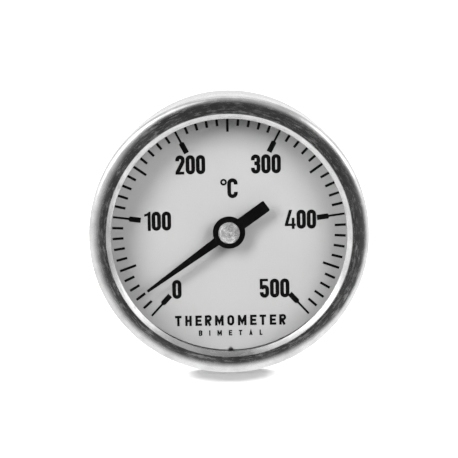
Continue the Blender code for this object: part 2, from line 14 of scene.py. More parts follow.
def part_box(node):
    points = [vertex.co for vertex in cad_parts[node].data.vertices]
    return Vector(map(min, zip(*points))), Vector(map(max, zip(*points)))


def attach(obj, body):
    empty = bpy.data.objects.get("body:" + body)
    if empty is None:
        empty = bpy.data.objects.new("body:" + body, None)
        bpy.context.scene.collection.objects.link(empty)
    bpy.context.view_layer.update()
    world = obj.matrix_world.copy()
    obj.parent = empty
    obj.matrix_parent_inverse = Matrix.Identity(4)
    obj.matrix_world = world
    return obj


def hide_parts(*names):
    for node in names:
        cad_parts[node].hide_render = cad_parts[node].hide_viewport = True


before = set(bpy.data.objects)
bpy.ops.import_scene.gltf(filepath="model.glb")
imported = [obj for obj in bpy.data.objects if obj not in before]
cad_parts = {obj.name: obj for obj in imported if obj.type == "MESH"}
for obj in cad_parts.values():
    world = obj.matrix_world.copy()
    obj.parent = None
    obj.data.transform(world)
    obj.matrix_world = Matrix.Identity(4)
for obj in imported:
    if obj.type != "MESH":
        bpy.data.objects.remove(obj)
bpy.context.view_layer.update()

MM = 0.001
GAP = 0.1 * MM

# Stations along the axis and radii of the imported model
DIAL_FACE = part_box("dial_plate")[0].y
DIAL_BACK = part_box("dial_plate")[1].y
DIAL_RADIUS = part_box("dial_plate")[1].x
BEZEL_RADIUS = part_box("bezel_ring")[1].x
BEZEL_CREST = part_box("bezel_ring")[0].y
BEZEL_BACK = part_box("bezel_ring")[1].y
GLASS_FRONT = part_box("window_glass")[0].y
CASE_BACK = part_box("case_cup")[1].y
CASE_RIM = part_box("case_cup")[0].y
FLANGE_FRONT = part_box("case_seal")[1].y + GAP
FLANGE_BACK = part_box("door_gasket")[0].y - GAP
STEM_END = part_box("end_plug")[1].y
FLOOR_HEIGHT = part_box("bezel_ring")[0].z

# Print on the dial
SCALE_START_DEG = 42.5
SCALE_STEP_DEG = 5.5
SCALE_STEPS = 50
TICK_OUTER = 26.45 * MM
TICK_LENGTH = 2.5 * MM
TICK_LENGTH_50 = 3.9 * MM
TICK_LENGTH_100 = 6.35 * MM
TICK_WIDTH = 0.56 * MM
TICK_WIDTH_100 = 0.48 * MM
BLOCK_LENGTH = 2.5 * MM
BLOCK_WIDTH = 1.2 * MM
BLOCK_TAPER = 0.25 * MM
INK = 0.02 * MM
FIGURE_HEIGHT = 4.4 * MM
FIGURE_SPACE = 0.045
FIGURE_CENTRES = {
    "0": (-12.05 * MM, -13.45 * MM),
    "100": (-16.1 * MM, 2.35 * MM),
    "200": (-8.5 * MM, 15.15 * MM),
    "300": (8.55 * MM, 15.1 * MM),
    "400": (16.2 * MM, 2.3 * MM),
    "500": (10.15 * MM, -13.5 * MM),
    "C": (0.93 * MM, 9.65 * MM),
}
DEGREE_CENTRE = (-1.07 * MM, 11.05 * MM)
DEGREE_RADIUS = 0.54 * MM
DEGREE_LINE = 0.44 * MM
# (text, height, width overall, height of its middle above the dial's centre, stroke for a height of 1)
WORDS = [
    ("THERMOMETER", 2.4 * MM, 25.2 * MM, -20.8 * MM, 0.23),
    ("BIMETAL", 1.25 * MM, 14.5 * MM, -23.7 * MM, 0.24),
]

# Where the pointer rests, in scale steps of 10 degrees Celsius
REST_STEPS = 2.2

# Studio light by direction. The dark part round the camera turns white between two angles from its middle.
DARK_LEVEL = 0.05
DARK_RIGHT_LEVEL = 0.08
STUDIO_LEVEL = 1.12
CEILING_DIMMER = 0.52
START_LOWER_LEFT_DEG = -2.0
START_UPPER_RIGHT_DEG = 42.0
END_BELOW_DEG = 54.0
END_ELSEWHERE_DEG = 80.0
END_MORE_UP_DEG = 32.0
END_MORE_RIGHT_DEG = 22.0
# (clock direction, angle off the dial's axis, size, strength)
SOFTBOXES = [
    (303.0, 84.0, 20.0, 1.6),
    (332.0, 78.0, 15.0, 0.8),
    (60.0, 84.0, 18.0, 1.2),
    (0.0, 118.0, 16.0, 0.5),
]
# A softbox has its full strength out to the first share of its size, and none past the second
SOFTBOX_CORE = 0.6
SOFTBOX_EDGE = 1.4
# Extra white that only the camera sees
BACKDROP_WHITE = 1.5
# (name, place, size, power, INCLUDE to light the floor alone or EXCLUDE to light all but the floor)
LAMPS = [
    ("key_left", (-1.35, -0.85, 1.10), 2.1, 112.0, "EXCLUDE"),
    ("fill_right", (0.95, -1.15, 0.70), 1.2, 26.0, "EXCLUDE"),
    ("floor_left", (-1.50, 0.60, 1.00), 0.6, 80.0, "INCLUDE"),
    ("floor_right", (1.50, 0.60, 1.00), 0.6, 80.0, "INCLUDE"),
]

# Camera
CAMERA_DISTANCE = 0.7
CAMERA_PITCH_DEG = 10.2
CAMERA_ROLL_DEG = 0.9
VIEW_WIDTH = 103.68 * MM
SENSOR = 36.0
AIM_UP = 0.30 * MM


# ---------------------------------------------------------------- shapes


def arc(centre, radius, start_deg, end_deg, steps):
    """Points on an arc about centre, 0 degrees along the first axis and 90 along the second."""
    points = []
    for i in range(steps + 1):
        angle = math.radians(start_deg + (end_deg - start_deg) * i / steps)
        points.append((centre[0] + radius * math.cos(angle), centre[1] + radius * math.sin(angle)))
    return points


def soften(outline, radius, closed=True, steps=3):
    """The outline with each corner rounded by a small curve, no longer than half its shorter side."""
    points = []
    count = len(outline)
    for i, corner in enumerate(outline):
        if not closed and i in (0, count - 1):
            points.append(corner)
            continue
        here = Vector(corner)
        to_last = Vector(outline[i - 1]) - here
        to_next = Vector(outline[(i + 1) % count]) - here
        reach = min(radius, 0.45 * to_last.length, 0.45 * to_next.length)
        start = here + to_last.normalized() * reach
        end = here + to_next.normalized() * reach
        for k in range(steps + 1):
            t = k / steps
            points.append(tuple(start * (1 - t) ** 2 + here * 2 * t * (1 - t) + end * t * t))
    return points


def finish_mesh(name, mesh, material, sharp_deg):
    mesh.materials.clear()
    mesh.materials.append(material)
    mesh.shade_smooth()
    mesh.set_sharp_from_angle(angle=math.radians(sharp_deg))
    obj = bpy.data.objects.new(name, mesh)
    bpy.context.scene.collection.objects.link(obj)
    return obj


def mesh_piece(name, verts, faces, material, sharp_deg=40.0):
    mesh = bpy.data.meshes.new(name)
    mesh.from_pydata(verts, [], faces)
    mesh.update()
    return finish_mesh(name, mesh, material, sharp_deg)


def lathe(name, outline, material, y=0.0, segments=192, sharp_deg=40.0):
    """Turn an outline of (r, y) points about the Y axis; it runs from +Y to -Y on its outer side."""
    verts = []
    rings = []
    for r, along in outline:
        if r < 1e-9:
            rings.append([len(verts)] * segments)
            verts.append((0.0, along + y, 0.0))
            continue
        rings.append(list(range(len(verts), len(verts) + segments)))
        for k in range(segments):
            angle = math.tau * k / segments
            verts.append((r * math.cos(angle), along + y, r * math.sin(angle)))
    faces = []
    pairs = list(zip(rings, rings[1:]))
    if outline[0][0] > 1e-9:
        pairs.append((rings[-1], rings[0]))
    for a, b in pairs:
        for k in range(segments):
            n = (k + 1) % segments
            corners = [a[k], a[n], b[n], b[k]]
            faces.append([c for i, c in enumerate(corners) if c not in corners[:i]])
    return mesh_piece(name, verts, faces, material, sharp_deg)


def ring_outline(inner, outer, front, back):
    return [(inner, back), (outer, back), (outer, front), (inner, front)]


def plate(name, loops, front, thickness, material, edge=0.0, turn_deg=0.0, sharp_deg=30.0):
    """A flat piece from closed loops of (right, up) points, holes included, seen from the front."""
    curve = bpy.data.curves.new(name, "CURVE")
    curve.dimensions = "2D"
    curve.fill_mode = "BOTH"
    curve.extrude = thickness / 2.0 - edge
    curve.bevel_depth = edge
    curve.bevel_resolution = 1
    curve.offset = -edge
    for loop in loops:
        spline = curve.splines.new("POLY")
        spline.points.add(len(loop) - 1)
        for point, (right, up) in zip(spline.points, loop):
            point.co = (right, up, 0.0, 1.0)
        spline.use_cyclic_u = True
    holder = bpy.data.objects.new(name + "_curve", curve)
    bpy.context.scene.collection.objects.link(holder)
    bpy.context.view_layer.update()
    mesh = bpy.data.meshes.new_from_object(holder.evaluated_get(bpy.context.evaluated_depsgraph_get()))
    bpy.data.objects.remove(holder)
    mesh.name = name
    mesh.transform(Matrix.Rotation(math.radians(90.0), 4, "X"))
    mesh.transform(Matrix.Rotation(math.radians(-turn_deg), 4, "Y"))
    mesh.transform(Matrix.Translation((0.0, front + thickness / 2.0, 0.0)))
    clean = bmesh.new()
    clean.from_mesh(mesh)
    bmesh.ops.remove_doubles(clean, verts=clean.verts, dist=0.0005 * MM)
    bmesh.ops.recalc_face_normals(clean, faces=clean.faces)
    clean.to_mesh(mesh)
    clean.free()
    return finish_mesh(name, mesh, material, sharp_deg)


def apply_modifiers(obj):
    bpy.context.view_layer.update()
    mesh = bpy.data.meshes.new_from_object(obj.evaluated_get(bpy.context.evaluated_depsgraph_get()))
    obj.modifiers.clear()
    obj.data = mesh


def combine(obj, other, operation):
    """Boolean obj with other, which is used up."""
    boolean = obj.modifiers.new(operation, "BOOLEAN")
    boolean.operation = operation
    boolean.solver = "EXACT"
    boolean.object = other
    apply_modifiers(obj)
    bpy.data.objects.remove(other)
    return obj


def join(name, objects):
    """One piece from several that don't touch."""
    merged = bmesh.new()
    for obj in objects:
        merged.from_mesh(obj.data)
    mesh = bpy.data.meshes.new(name)
    merged.to_mesh(mesh)
    merged.free()
    material = objects[0].data.materials[0]
    for obj in objects:
        bpy.data.objects.remove(obj)
    return finish_mesh(name, mesh, material, 30.0)


def place(piece, body, slot, *nodes):
    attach(piece, body)
    if nodes:
        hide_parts(*nodes)
    return piece


# ---------------------------------------------------------------- materials


class Nodes:
    """Short hand for a node tree. An input is a plain value or another node's socket."""

    def __init__(self, tree):
        self.tree = tree

    def set(self, node, inputs):
        for key, value in inputs.items():
            if isinstance(value, bpy.types.NodeSocket):
                self.tree.links.new(value, node.inputs[key])
            else:
                node.inputs[key].default_value = value
        return node

    def node(self, kind, inputs=None, **settings):
        node = self.tree.nodes.new(kind)
        for key, value in settings.items():
            setattr(node, key, value)
        return self.set(node, inputs or {})

    def math(self, operation, first, second=0.0):
        return self.node("ShaderNodeMath", {0: first, 1: second}, operation=operation).outputs[0]

    def spread(self, value, low, high, start=0.3, end=0.7, smooth=False):
        inputs = {"Value": value, "From Min": start, "From Max": end, "To Min": low, "To Max": high}
        kind = "SMOOTHSTEP" if smooth else "LINEAR"
        node = self.node("ShaderNodeMapRange", inputs, interpolation_type=kind, clamp=True)
        return node.outputs["Result"]

    def vector(self, operation, inputs, output=0):
        return self.node("ShaderNodeVectorMath", inputs, operation=operation).outputs[output]

    def dot(self, vector, direction):
        return self.vector("DOT_PRODUCT", {0: vector, 1: direction}, "Value")

    def split(self, vector):
        return self.node("ShaderNodeSeparateXYZ", {"Vector": vector}).outputs


class Graph(Nodes):
    """One material's nodes."""

    def __init__(self, name, colour, roughness, metallic=0.0):
        self.material = bpy.data.materials.new(name)
        self.material.use_nodes = True
        super().__init__(self.material.node_tree)
        self.shader = self.tree.nodes["Principled BSDF"]
        self.set(self.shader, {"Base Color": (*colour, 1.0), "Roughness": roughness, "Metallic": metallic})

    def place(self):
        return self.node("ShaderNodeTexCoord").outputs["Object"]

    def noise(self, vector, scale, detail=2.0, roughness=0.5):
        inputs = {"Vector": vector, "Scale": scale, "Detail": detail, "Roughness": roughness}
        return self.node("ShaderNodeTexNoise", inputs).outputs["Fac"]

    def lines(self, across, along_scale=2.0):
        """Fine lines that run round the dial's axis, as turning or polishing leaves them."""
        xyz = self.split(self.place())
        flat = self.node("ShaderNodeCombineXYZ", {"X": xyz["X"], "Y": xyz["Z"]}).outputs[0]
        radius = self.vector("LENGTH", {0: flat}, "Value")
        turn = self.split(self.vector("NORMALIZE", {0: flat}))
        stretched = [
            self.math("MULTIPLY", socket, scale)
            for socket, scale in (
                (radius, across),
                (xyz["Y"], across),
                (turn["X"], along_scale),
                (turn["Y"], along_scale),
            )
        ]
        vector = self.node("ShaderNodeCombineXYZ", dict(zip("XYZ", stretched))).outputs[0]
        inputs = {"Vector": vector, "W": stretched[3], "Scale": 1.0, "Detail": 3.0, "Roughness": 0.6}
        return self.node("ShaderNodeTexNoise", inputs, noise_dimensions="4D").outputs["Fac"]

    def mix(self, share, first, second):
        node = self.node("ShaderNodeMix", data_type="RGBA")
        colours = [socket for socket in node.inputs if socket.type == "RGBA"]
        for socket, value in zip((node.inputs[0], *colours), (share, first, second)):
            if isinstance(value, bpy.types.NodeSocket):
                self.tree.links.new(value, socket)
            else:
                socket.default_value = value
        return [socket for socket in node.outputs if socket.type == "RGBA"][0]

    def bump(self, height, depth, strength=1.0, normal=None):
        inputs = {"Height": height, "Distance": depth, "Strength": strength}
        if normal:
            inputs["Normal"] = normal
        return self.node("ShaderNodeBump", inputs).outputs["Normal"]

    def surface(self, tone, rough, normal):
        self.set(self.shader, {"Base Color": tone, "Roughness": rough, "Normal": normal})
        return self.material


def shade(colour, factor):
    return (*(min(1.0, c * factor) for c in colour), 1.0)


def metal(name, colour, low, high, line_density=9000.0, line_depth=0.002 * MM, blotch=0.10, streaks=0.0):
    """Bare metal with fine lines round the axis, soft smudges, and duller streaks where it is rubbed."""
    graph = Graph(name, colour, low, 1.0)
    lines = graph.lines(line_density)
    smudge = graph.noise(graph.place(), 190.0, 4.0, 0.6)
    fine = graph.noise(graph.place(), 2600.0, 3.0, 0.65)
    dull = shade(colour, 1.0 - blotch)
    bright = shade(colour, 1.0 + blotch / 2)
    tone = graph.mix(graph.spread(smudge, 0.0, 1.0), dull, bright)
    rough = graph.math("ADD", graph.spread(lines, low, high), graph.spread(smudge, -0.04, 0.06))
    if streaks:
        rubbed = graph.lines(2600.0, 14.0)
        rough = graph.math("ADD", rough, graph.spread(rubbed, 0.0, streaks, 0.48, 0.68))
    normal = graph.bump(lines, line_depth)
    normal = graph.bump(fine, 0.001 * MM, 0.6, normal)
    return graph.surface(tone, rough, normal)


def make_hub_steel():
    """Pale half-matt metal with turning lines, shallow dents from riveting and thin crooked dark lines
    painted into its colour as dark reflections.
    """
    colour = (0.92, 0.92, 0.92)
    dark_reflection_colour = (0.30, 0.30, 0.30, 1.0)
    dent_depth = 0.42 * MM
    graph = Graph("hub_steel", colour, 0.22, 0.72)
    lines = graph.lines(14000.0)
    dents = graph.noise(graph.place(), 720.0, 1.0)
    cloud = graph.noise(graph.place(), 300.0, 1.0)
    vein = graph.math("ABSOLUTE", graph.math("SUBTRACT", cloud, 0.5))
    # Thin crooked dark lines painted into the colour all over the hub: painted dark reflections.
    painted_reflection_mask = graph.spread(vein, 0.40, 0.0, 0.002, 0.012)
    patch = graph.mix(graph.spread(dents, 0.0, 1.0), shade(colour, 0.84), shade(colour, 1.08))
    tone = graph.mix(painted_reflection_mask, patch, dark_reflection_colour)
    normal = graph.bump(dents, dent_depth, 1.0, graph.bump(lines, 0.0015 * MM))
    return graph.surface(tone, graph.spread(lines, 0.18, 0.30), normal)


def make_glass():
    """Thin clear pane: it lets light straight through, and only its gloss shows."""
    clarity = (0.98, 0.98, 0.98, 1.0)
    coated_index = 1.16
    graph = Graph("pane", (1.0, 1.0, 1.0), 0.02)
    graph.tree.nodes.remove(graph.shader)
    smear = graph.noise(graph.place(), 60.0, 3.0)
    clear = graph.node("ShaderNodeBsdfTransparent", {"Color": clarity}).outputs[0]
    gloss = graph.node("ShaderNodeBsdfGlossy", {"Roughness": graph.spread(smear, 0.015, 0.05)}).outputs[0]
    share = graph.node("ShaderNodeFresnel", {"IOR": coated_index}).outputs[0]
    mix = graph.node("ShaderNodeMixShader", {0: share, 1: clear, 2: gloss})
    output = graph.tree.nodes["Material Output"]
    graph.tree.links.new(mix.outputs[0], output.inputs["Surface"])
    return graph.material


def make_dial_paint():
    """Pale matt paint with a fine sprayed grain and a very faint unevenness."""
    colour = (0.55, 0.55, 0.55)
    graph = Graph("dial_paint", colour, 0.5)
    cloud = graph.noise(graph.place(), 55.0, 3.0)
    grain = graph.noise(graph.place(), 5200.0, 2.0, 0.7)
    tone = graph.mix(graph.spread(cloud, 0.0, 1.0), shade(colour, 0.97), shade(colour, 1.03))
    tone = graph.mix(graph.spread(grain, 0.0, 0.35), tone, shade(colour, 0.93))
    return graph.surface(tone, graph.spread(grain, 0.46, 0.62), graph.bump(grain, 0.004 * MM))


def make_black(name, colour, low, high, depth):
    """Dark paint, ink or rubber: an even tone with a fine grain."""
    graph = Graph(name, colour, low)
    graph.shader.inputs["Specular IOR Level"].default_value = 0.08
    grain = graph.noise(graph.place(), 3800.0, 3.0, 0.6)
    cloud = graph.noise(graph.place(), 260.0, 2.0)
    tone = graph.mix(graph.spread(cloud, 0.0, 1.0), shade(colour, 0.8), shade(colour, 1.25))
    return graph.surface(tone, graph.spread(grain, low, high), graph.bump(grain, depth))


def make_fibre():
    """Compressed graphite fibre: dark, flecked and slightly crumbly."""
    colour = (0.055, 0.056, 0.060)
    fleck_colour = (0.20, 0.20, 0.21, 1.0)
    graph = Graph("graphite_fibre", colour, 0.75)
    cells = graph.node("ShaderNodeTexVoronoi", {"Vector": graph.place(), "Scale": 1500.0})
    flecks = graph.spread(cells.outputs["Distance"], 1.0, 0.0, 0.05, 0.30)
    grain = graph.noise(graph.place(), 1200.0, 5.0, 0.7)
    tone = graph.mix(flecks, shade(colour, 0.8), fleck_colour)
    return graph.surface(tone, graph.spread(grain, 0.6, 0.9), graph.bump(grain, 0.03 * MM))


def make_zinc():
    """Bright zinc plate: slightly blue, with a soft patchy passivation and fine pits."""
    colour = (0.63, 0.64, 0.66)
    blue_patch = (0.55, 0.57, 0.61, 1.0)
    pale_patch = (0.70, 0.70, 0.69, 1.0)
    graph = Graph("zinc_plate", colour, 0.3, 1.0)
    patch = graph.noise(graph.place(), 330.0, 4.0, 0.6)
    pits = graph.noise(graph.place(), 3000.0, 3.0, 0.7)
    tone = graph.mix(graph.spread(patch, 0.0, 1.0), blue_patch, pale_patch)
    return graph.surface(tone, graph.spread(patch, 0.24, 0.42), graph.bump(pits, 0.006 * MM))


STEEL = (0.67, 0.67, 0.67)
bezel_steel = metal("bezel_steel", STEEL, 0.11, 0.20, 5200.0, 0.0010 * MM, 0.22, streaks=0.26)
case_steel = metal("case_steel", STEEL, 0.22, 0.36, 7000.0, 0.002 * MM, 0.08)
tube_steel = metal("tube_steel", STEEL, 0.18, 0.34, 9000.0, 0.0015 * MM, 0.10)
turned_steel = metal("turned_steel", STEEL, 0.20, 0.36, 6000.0, 0.003 * MM, 0.08)
hub_steel = make_hub_steel()
brass = metal("turned_brass", (0.74, 0.56, 0.29), 0.22, 0.38, 6000.0, 0.003 * MM, 0.10)
alloy = metal("turned_alloy", (0.34, 0.34, 0.34), 0.45, 0.60, 6000.0, 0.003 * MM, 0.06)
strip = metal("bimetal_strip", (0.52, 0.48, 0.43), 0.28, 0.48, 9000.0, 0.002 * MM, 0.16)
zinc = make_zinc()
glass = make_glass()
dial_paint = make_dial_paint()
ink = make_black("print_ink", (0.004, 0.004, 0.004), 0.55, 0.7, 0.002 * MM)
pointer_paint = make_black("pointer_paint", (0.003, 0.003, 0.003), 0.55, 0.75, 0.004 * MM)
silicone = make_black("silicone", (0.30, 0.30, 0.31), 0.6, 0.8, 0.01 * MM)
fibre = make_fibre()


# ---------------------------------------------------------------- bezel, window and case


def make_bezel():
    """The rolled ring: inner slope, crest, rounded shoulder, skirt and the crimp behind the case's rim."""
    sheet = 0.8 * MM
    lip_radius = 26.5 * MM
    slope_radius = 27.6 * MM
    slope_rise = 0.95 * MM
    crest_radius = 28.8 * MM
    crimp_radius = 30.05 * MM
    drop = 1.9 * MM
    lip = GLASS_FRONT - GAP
    crimp_front = BEZEL_BACK - sheet
    skirt = BEZEL_RADIUS - sheet
    outline = [(crimp_radius, BEZEL_BACK)]
    outline += arc((BEZEL_RADIUS - sheet / 2, BEZEL_BACK - sheet / 2), sheet / 2, 90.0, 0.0, 8)
    steps = 40
    for i in range(steps + 1):
        angle = math.pi / 2 * i / steps
        r = crest_radius + (BEZEL_RADIUS - crest_radius) * math.cos(angle)
        outline.append((r, BEZEL_CREST + drop - drop * math.sin(angle)))
    slope = [
        (slope_radius + 0.15 * MM, BEZEL_CREST),
        (slope_radius, lip - slope_rise),
        (lip_radius, lip - GAP),
        (lip_radius, lip),
        (lip_radius + sheet, lip),
    ]
    outline += soften([outline[-1], *slope], 0.15 * MM, closed=False, steps=5)[1:]
    outline += [
        (slope_radius + sheet / 2, lip - slope_rise + sheet),
        (crest_radius, BEZEL_CREST + sheet),
        (skirt - sheet, BEZEL_CREST + sheet * 1.5),
        (skirt, BEZEL_CREST + drop),
        (skirt, crimp_front),
        (crimp_radius, crimp_front),
    ]
    bezel = lathe("bezel", outline, bezel_steel, segments=384, sharp_deg=50.0)
    place(bezel, "housing", "stainless", "bezel_ring")


def make_window():
    low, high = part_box("window_glass")
    edge = 0.25 * MM
    outline = [
        (0.0, high.y),
        (high.x - edge, high.y),
        (high.x, high.y - edge),
        (high.x, low.y + edge),
        (high.x - edge, low.y),
        (0.0, low.y),
    ]
    pane = lathe("window_pane", outline, glass, segments=256)
    place(pane, "housing", "window", "window_glass")
    for name, node, material, slot, bore in (
        ("window_seal", "window_gasket", silicone, "silicone", 27.2 * MM),
        ("spacer", "spacer_ring", alloy, "alloy", 27.75 * MM),
    ):
        low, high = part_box(node)
        section = soften(ring_outline(bore, high.x, low.y, high.y), 0.15 * MM)
        place(lathe(name, section, material, segments=256), "housing", slot, node)


def make_case():
    """Pressed cup with a rounded back corner and a shallow stamped step in its back."""
    sheet = 0.8 * MM
    radius = 29.9 * MM
    rim_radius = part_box("case_cup")[1].x
    corner = 2.0 * MM
    hole = 6.3 * MM
    step_radius = 20.0 * MM
    step = 0.18 * MM
    centre = (radius - corner, CASE_BACK - corner)
    back = [(hole, CASE_BACK - step), (step_radius, CASE_BACK - step), (step_radius + 0.8 * MM, CASE_BACK)]
    outline = soften([*back, (radius - corner, CASE_BACK)], 0.5 * MM, closed=False, steps=5)
    outline += arc(centre, corner, 90.0, 0.0, 16)[1:]
    rim = [(radius, CASE_RIM + sheet), (rim_radius, CASE_RIM + sheet), (rim_radius, CASE_RIM)]
    outline += soften([outline[-1], *rim, (radius - sheet, CASE_RIM)], 0.2 * MM, closed=False)[1:]
    outline += arc(centre, corner - sheet, 0.0, 90.0, 12)
    outline.append((hole, CASE_BACK - step - sheet))
    place(lathe("case_shell", outline, case_steel, segments=256), "housing", "stainless", "case_cup")


# ---------------------------------------------------------------- dial and print


def make_dial():
    """Sheet-metal dial with a centre hole and a half-round notch in its rim at the bottom."""
    notch = 0.6 * MM
    half_notch_deg = math.degrees(2.0 * math.asin(notch / 2.0 / DIAL_RADIUS))
    rim = arc((0.0, 0.0), DIAL_RADIUS, -90.0 + half_notch_deg, 270.0 - half_notch_deg, 240)
    tilt = half_notch_deg / 2.0
    rim += arc((0.0, -DIAL_RADIUS), notch, 180.0 - tilt, tilt, 12)[1:-1]
    hole = arc((0.0, 0.0), 2.6 * MM, 0.0, 360.0, 64)[:-1]
    thickness = DIAL_BACK - DIAL_FACE
    dial = plate("dial_face", [rim, hole], DIAL_FACE, thickness, dial_paint, edge=0.04 * MM, sharp_deg=12.0)
    place(dial, "housing", "dial", "dial_plate")


def printed(name, loops):
    return plate(name, loops, DIAL_FACE - INK, INK, ink)


def scale_direction(step):
    """Unit (right, up) of a scale mark, clockwise from straight down."""
    angle = math.radians(SCALE_START_DEG + SCALE_STEP_DEG * step)
    return Vector((-math.sin(angle), -math.cos(angle)))


def bar(direction, stations):
    """Outline along direction from (distance, width) stations."""
    side = Vector((-direction.y, direction.x))
    one = [direction * distance + side * width / 2 for distance, width in stations]
    other = [direction * distance - side * width / 2 for distance, width in reversed(stations)]
    return [tuple(p) for p in one + other]


def make_scale():
    loops = []
    for step in range(SCALE_STEPS + 1):
        if step % 10 == 0:
            inner = TICK_OUTER - TICK_LENGTH_100
            stations = [
                (inner, BLOCK_WIDTH),
                (inner + BLOCK_LENGTH, BLOCK_WIDTH),
                (inner + BLOCK_LENGTH + BLOCK_TAPER, TICK_WIDTH_100),
                (TICK_OUTER, TICK_WIDTH_100),
            ]
        else:
            length = TICK_LENGTH_50 if step % 5 == 0 else TICK_LENGTH
            stations = [(TICK_OUTER - length, TICK_WIDTH), (TICK_OUTER, TICK_WIDTH)]
        loops.append(bar(scale_direction(step), stations))
    place(printed("scale_marks", loops), "housing", "dial")


def stroke(path, width):
    """Outline of a line of even width along a path, with square ends and mitred corners."""
    points = [Vector(p) for p in path]
    one = []
    other = []
    for i, here in enumerate(points):
        last = (here - points[i - 1]).normalized() if i else None
        following = (points[i + 1] - here).normalized() if i + 1 < len(points) else None
        first = last or following
        second = following or last
        side = Vector((-first.y - second.y, first.x + second.x))
        side = side.normalized() * width / 2 / max(0.3, side.length / 2)
        one.append(tuple(here + side))
        other.append(tuple(here - side))
    return one + other[::-1]


def box_loop(left, right, bottom, top):
    return [(left, bottom), (right, bottom), (right, top), (left, top)]


def oval(centre_x, width, height, line):
    """The two loops of an upright ring with round ends, such as a nought."""
    loops = []
    for inset in (0.0, line):
        r = width / 2 - inset
        top = arc((centre_x, height - width / 2), r, 0.0, 180.0, 14)
        loops.append(top + arc((centre_x, width / 2), r, 180.0, 360.0, 14))
    return loops


def figure_shapes():
    """Plain narrow figures and letters, one unit high: name to (width, list of overlapping loop sets)."""
    line = 0.195
    wide = 0.48
    mid = wide / 2
    reach = mid - line / 2
    low = mid
    high = 1.0 - mid
    left = line / 2
    right = wide - line / 2
    flag_top = [(0.235, 1.0), (0.19, 0.945), (0.11, 0.895), (0.0, 0.865)]
    flag_foot = [(0.0, 0.745), (0.10, 0.765), (0.17, 0.80)]
    one = [(0.17, 0.0), (0.33, 0.0), (0.33, 1.0), *flag_top, *flag_foot]
    two = [(left, high - 0.07), *arc((mid, high), reach, 180.0, 0.0, 14), (right, 0.68), (0.355, 0.60)]
    two += [(0.085, 0.09)]
    upper = [(left, high - 0.07), *arc((mid, high), reach, 180.0, 0.0, 14)]
    upper += [*arc((right - 0.12, 0.655), 0.12, 0.0, -90.0, 6), (0.17, 0.535)]
    lower = [(0.17, 0.535), *arc((right - 0.13, 0.405), 0.13, 90.0, 0.0, 6)]
    lower += [*arc((mid, low), reach, 0.0, -180.0, 14), (left, low + 0.07)]
    four = [(0.22, 1.0), (0.0, 0.26), (0.0, 0.15), (0.355, 0.15), (0.355, 0.0), (0.50, 0.0), (0.50, 0.15)]
    four += [(0.56, 0.15), (0.56, 0.275), (0.50, 0.275), (0.50, 0.58), (0.355, 0.58), (0.355, 0.275)]
    four += [(0.175, 0.275), (0.385, 1.0)]
    bowl = [(0.09, 0.50), *arc((mid, 0.44), reach, 140.0, 0.0, 12)]
    bowl += [*arc((mid, low), reach, 0.0, -180.0, 14), (left, low + 0.06)]
    cee_mid = 0.25
    cee = [(0.42, 0.69), *arc((cee_mid, 0.75), 0.17, 0.0, 180.0, 14)]
    cee += [*arc((cee_mid, 0.25), 0.17, 180.0, 360.0, 14), (0.42, 0.31)]
    return {
        "0": (wide, [oval(mid, wide, 1.0, line)]),
        "1": (0.33, [[one]]),
        "2": (wide, [[stroke(two, line)], [box_loop(0.0, 0.45, 0.0, 0.145)]]),
        "3": (wide, [[stroke(upper, line)], [stroke(lower, line)]]),
        "4": (0.56, [[four]]),
        "5": (
            wide,
            [[box_loop(0.0, 0.43, 0.865, 1.0)], [box_loop(0.0, 0.15, 0.46, 0.95)], [stroke(bowl, line)]],
        ),
        "C": (0.5, [[stroke(cee, line)]]),
    }


def letter_shapes(line):
    """Plain capitals, one unit high, for the words on the dial."""
    wide = 0.62
    bar_low = box_loop(0.0, wide, 0.0, line)
    bar_mid = box_loop(line / 2, wide * 0.9, 0.5 - line / 2, 0.5 + line / 2)
    bar_top = box_loop(0.0, wide, 1.0 - line, 1.0)
    post = box_loop(0.0, line, 0.0, 1.0)
    far_post = box_loop(wide - line, wide, 0.0, 1.0)
    centre_post = box_loop((wide - line) / 2, (wide + line) / 2, 0.0, 1.0 - line / 2)
    bowl = [(line / 2, 1.0 - line / 2), *arc((0.35, 0.72), 0.195, 90.0, -90.0, 12), (line / 2, 0.525)]
    leg = [(0.27, 0.5), (wide - line / 2, 0.0)]
    em_wide = 0.82
    valley = [(line / 2, 0.95), (em_wide / 2, 0.28), (em_wide - line / 2, 0.95)]
    em_post = box_loop(em_wide - line, em_wide, 0.0, 1.0)
    far = wide - line / 2
    lower_bowl = [(line / 2, 0.54), *arc((0.33, 0.32), 0.215, 90.0, -90.0, 12), (line / 2, line / 2)]
    slope_left = [(line / 2, 0.0), (0.31, 1.0 - line / 2), (far, 0.0)]
    bar_h = box_loop(line / 2, wide - line / 2, 0.5 - line / 2, 0.5 + line / 2)
    return {
        "T": (wide, [[bar_top], [centre_post]]),
        "H": (wide, [[post], [far_post], [bar_h]]),
        "E": (wide * 0.9, [[post], [bar_low], [bar_mid], [bar_top]]),
        "R": (wide, [[post], [stroke(bowl, line)], [stroke(leg, line)]]),
        "M": (em_wide, [[post], [stroke(valley, line * 0.9)], [em_post]]),
        "O": (0.66, [oval(0.33, 0.66, 1.0, line)]),
        "B": (wide, [[post], [stroke(bowl, line)], [stroke(lower_bowl, line)]]),
        "I": (line, [[post]]),
        "A": (wide, [[stroke(slope_left, line)], [box_loop(0.14, wide - 0.14, 0.2, 0.36)]]),
        "L": (wide * 0.85, [[post], [box_loop(0.0, wide * 0.85, 0.0, line)]]),
    }


def glyph(name, shape, size, left, bottom):
    """One printed character: its overlapping strokes are united into one body."""
    made = None
    for index, loops in enumerate(shape[1]):
        scaled = [[(left + x * size, bottom + up * size) for x, up in loop] for loop in loops]
        extra = index * 0.0007 * MM
        part = plate(f"{name}_{index}", scaled, DIAL_FACE - INK - extra, INK + 2.0 * extra, ink)
        made = combine(made, part, "UNION") if made else part
    return made


